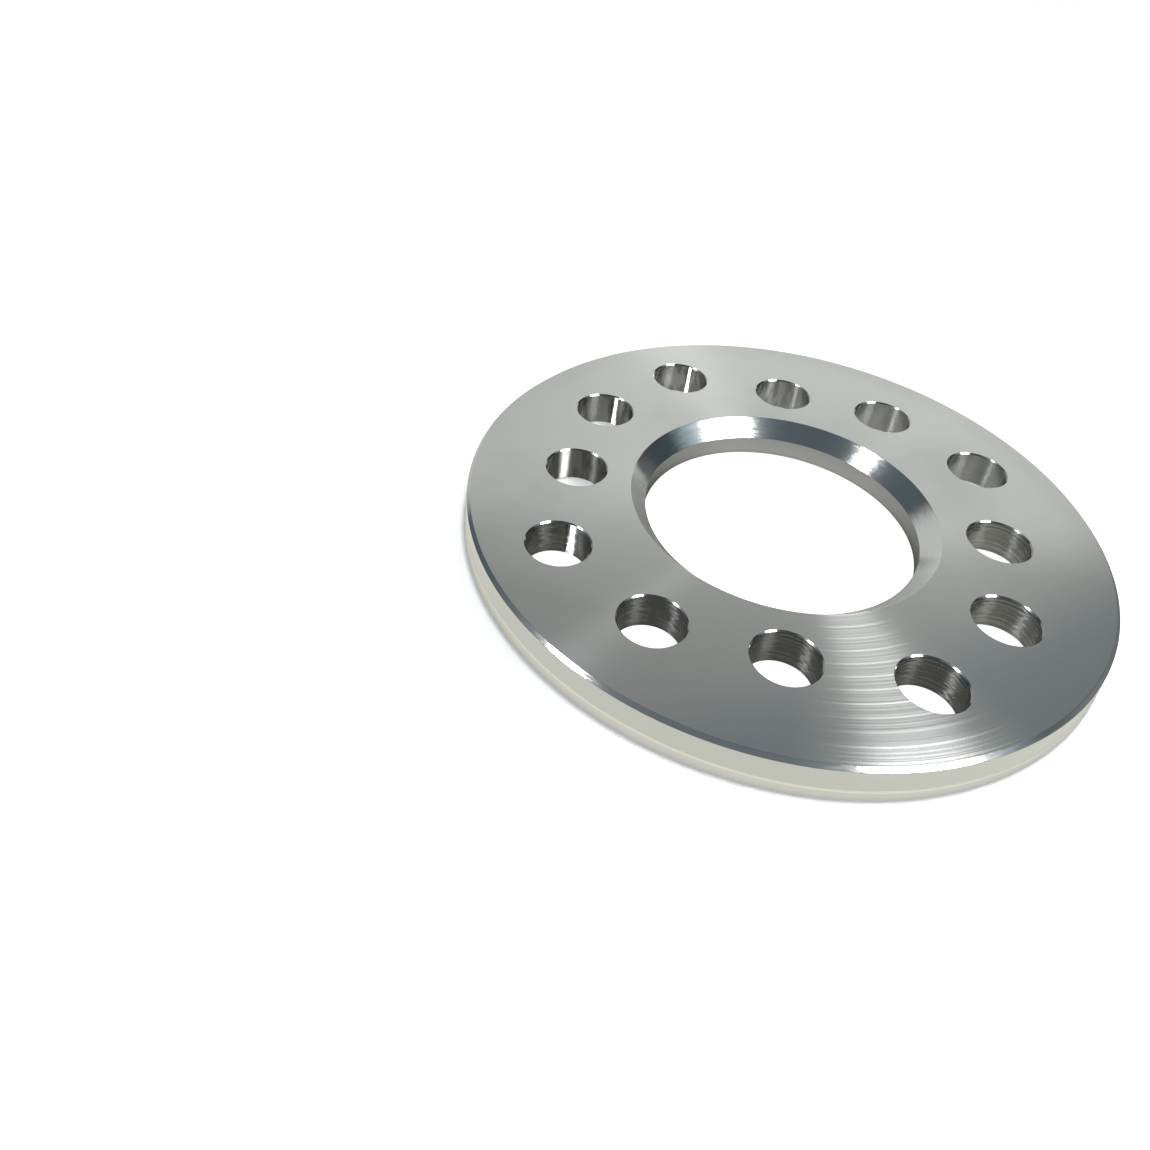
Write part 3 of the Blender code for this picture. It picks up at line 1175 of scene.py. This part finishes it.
def drill_group():
    """All the drills, as instances on the stud pattern."""
    takes = [(label, FLOAT, circle) for label, circle in zip(CIRCLES, stud_order)]
    takes += [
        ("Holes", INTEGER, len(stud_centres)),
        ("First Angle", FLOAT, first_stud),
        ("Hole Radius", FLOAT, stud_wall),
        ("Countersink", FLOAT, countersink),
        ("Thickness", FLOAT, thickness),
        ("Sides", INTEGER, HOLE_SIDES),
    ]
    tree, have, give = geometry_group("stud_drills", takes, gives="Instances")
    flare = calc(tree, "ADD", calc(tree, "ADD", have["Hole Radius"], have["Countersink"]), OVERRUN)
    above = calc(tree, "ADD", have["Thickness"], OVERRUN)
    points = [
        (0.0, -OVERRUN),
        (flare, -OVERRUN),
        (have["Hole Radius"], have["Countersink"]),
        (have["Hole Radius"], calc(tree, "SUBTRACT", have["Thickness"], have["Countersink"])),
        (flare, above),
        (0.0, above),
    ]
    sources = {"Section": section_curve(tree, points), "Sides": have["Sides"]}
    drill = put(tree, "GeometryNodeGroup", sources, node_tree=turn_section)

    number = put(tree, "GeometryNodeInputIndex").outputs[0]
    radii = [have[label] for label in CIRCLES]
    circle = pick(tree, "FLOAT", calc(tree, "MODULO", number, len(CIRCLES)), radii)
    step = calc(tree, "DIVIDE", 2.0 * math.pi, have["Holes"])
    angle = calc(tree, "SUBTRACT", have["First Angle"], times(tree, number, step))
    sources = {
        0: times(tree, circle, calc(tree, "COSINE", angle)),
        1: times(tree, circle, calc(tree, "SINE", angle)),
    }
    spot = put(tree, "ShaderNodeCombineXYZ", sources)
    spots = put(tree, "GeometryNodePoints", {"Count": have["Holes"], "Position": spot.outputs[0]})
    sources = {"Points": spots.outputs[0], "Instance": drill.outputs[0]}
    placed = put(tree, "GeometryNodeInstanceOnPoints", sources)
    tree.links.new(placed.outputs[0], give[0])
    return tree


stud_drills = drill_group()
print(stud_drills.name, "has", len(stud_drills.nodes), "nodes")

# %% [markdown]
# ## The whole spacer
#
# The last tree cuts the blank with the drills, marks the sharp edges by their angle and gives each face its
# finish. A face tells by itself which finish it needs: level faces are turned faces, and the others go by
# their distance from the axis and by how steep they are.

# %% Tree for the spacer
SHARP_ANGLE = math.radians(4.5)  # more than a side of a hole, less than a step of an eased edge
LEVEL = 0.9                      # a face that points up or down at least as much is level
UPRIGHT = 0.2                    # and a face that does so less than this is upright
LEDGE_BAND = 0.3 * MM


def spacer_tree():
    """Drills the blank and sets the finishes."""
    takes = [(finish.name, MATERIAL, None) for finish in finishes]
    takes += [("Bore Radius", FLOAT, bore), ("Hub Bore Bevel", FLOAT, hub_face[0] - bore)]
    takes += [("Hub Face Radius", FLOAT, hub_face[1]), ("Ledge Height", FLOAT, ledge_height)]
    tree, have, give = geometry_group("wheel_spacer", takes)
    blank = put(tree, "GeometryNodeGroup", node_tree=turned_blank)
    drills = put(tree, "GeometryNodeGroup", node_tree=stud_drills)
    solid_drills = put(tree, "GeometryNodeRealizeInstances", {0: drills.outputs[0]})
    sources = {"Mesh 1": blank.outputs[0], "Mesh 2": solid_drills.outputs[0]}
    drilled = put(tree, "GeometryNodeMeshBoolean", sources, operation="DIFFERENCE", solver="EXACT")
    smooth = put(tree, "GeometryNodeSetShadeSmooth", {"Geometry": drilled.outputs[0], "Shade Smooth": True})
    bend = put(tree, "GeometryNodeInputMeshEdgeAngle").outputs["Unsigned Angle"]
    sources = {
        "Geometry": smooth.outputs[0],
        "Selection": calc(tree, "GREATER_THAN", bend, SHARP_ANGLE),
        "Shade Smooth": False,
    }
    creased = put(tree, "GeometryNodeSetShadeSmooth", sources, domain="EDGE")
    shape = put(tree, "GeometryNodeRealizeInstances", {0: creased.outputs[0]}).outputs[0]

    place = put(tree, "GeometryNodeInputPosition").outputs[0]
    radius = measure(tree, "LENGTH", vector(tree, "MULTIPLY", place, IN_PLAN))
    facing = put(tree, "GeometryNodeInputNormal").outputs[0]
    tilt = calc(tree, "ABSOLUTE", measure(tree, "DOT_PRODUCT", facing, UP))
    sloped = calc(tree, "LESS_THAN", tilt, LEVEL)
    upright = calc(tree, "LESS_THAN", tilt, UPRIGHT)
    outside = calc(tree, "GREATER_THAN", radius, have["Hub Face Radius"])
    bore_side = calc(tree, "ADD", have["Bore Radius"], have["Hub Bore Bevel"])
    inside = calc(tree, "LESS_THAN", radius, bore_side)
    between = calc(tree, "LESS_THAN", calc(tree, "ADD", outside, inside), 0.5)
    above_ledge = calc(tree, "SUBTRACT", measure(tree, "DOT_PRODUCT", place, UP), have["Ledge Height"])
    from_ledge = calc(tree, "ABSOLUTE", above_ledge)
    on_ledge = times(tree, outside, calc(tree, "LESS_THAN", from_ledge, LEDGE_BAND))
    wall = times(tree, upright, calc(tree, "SUBTRACT", 1.0, between))
    rules = {
        "turned_face": None,
        "turned_bevel": sloped,
        "turned_wall": calc(tree, "MAXIMUM", wall, on_ledge),
        "countersunk": times(tree, sloped, between),
        "drilled_wall": times(tree, upright, between),
    }
    for label, rule in rules.items():
        sources = {"Geometry": shape, "Material": have[label]}
        if rule is not None:
            sources["Selection"] = rule
        shape = put(tree, "GeometryNodeSetMaterial", sources).outputs[0]
    tree.links.new(shape, give[0])
    return tree


wheel_spacer = spacer_tree()
print(wheel_spacer.name, "has", len(wheel_spacer.nodes), "nodes")


# %% Run the tree and keep its mesh
def grown_from(tree, name, values):
    """Runs a tree on an empty object, and gives back an object with the plain mesh that it made."""
    holder = bpy.data.objects.new(name, bpy.data.meshes.new(name))
    scene.collection.objects.link(holder)
    grow = holder.modifiers.new(tree.name, "NODES")
    grow.node_group = tree
    for socket in tree.interface.items_tree:
        if socket.in_out == "INPUT" and socket.name in values:
            grow[socket.identifier] = values[socket.name]
    evaluated = holder.evaluated_get(bpy.context.evaluated_depsgraph_get())
    mesh = bpy.data.meshes.new_from_object(evaluated)
    for place in reversed(range(len(mesh.materials))):
        if mesh.materials[place] is None:
            mesh.materials.pop(index=place)
    holder.modifiers.clear()
    holder.data = mesh
    return holder


plate = grown_from(wheel_spacer, "wheel_spacer", {finish.name: finish for finish in finishes})
plate.data.name = "wheel_spacer"

# %% Compare it with the solid
CM = 0.01


def volume_of(mesh):
    """The volume inside a closed mesh. It is negative if the faces point inwards."""
    mesh.calc_loop_triangles()
    total = 0.0
    for triangle in mesh.loop_triangles:
        first, second, third = (mesh.vertices[place].co for place in triangle.vertices)
        total += first.dot(second.cross(third)) / 6.0
    return total


print("spacer:", len(plate.data.polygons), "faces,", len(plate.data.loop_triangles), "triangles")
volumes = [round(volume_of(mesh) / CM**3, 3) for mesh in (plate.data, frame["nodes"][NODE].data)]
print("volume", volumes[0], "cm3, and of the solid", volumes[1], "cm3")
counts = [0] * len(plate.data.materials)
for polygon in plate.data.polygons:
    counts[polygon.material_index] += 1
print("faces of each finish:", dict(zip([finish.name for finish in plate.data.materials], counts)))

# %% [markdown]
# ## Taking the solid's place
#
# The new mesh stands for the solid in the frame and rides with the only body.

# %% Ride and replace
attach(plate, "root")
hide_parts(NODE)
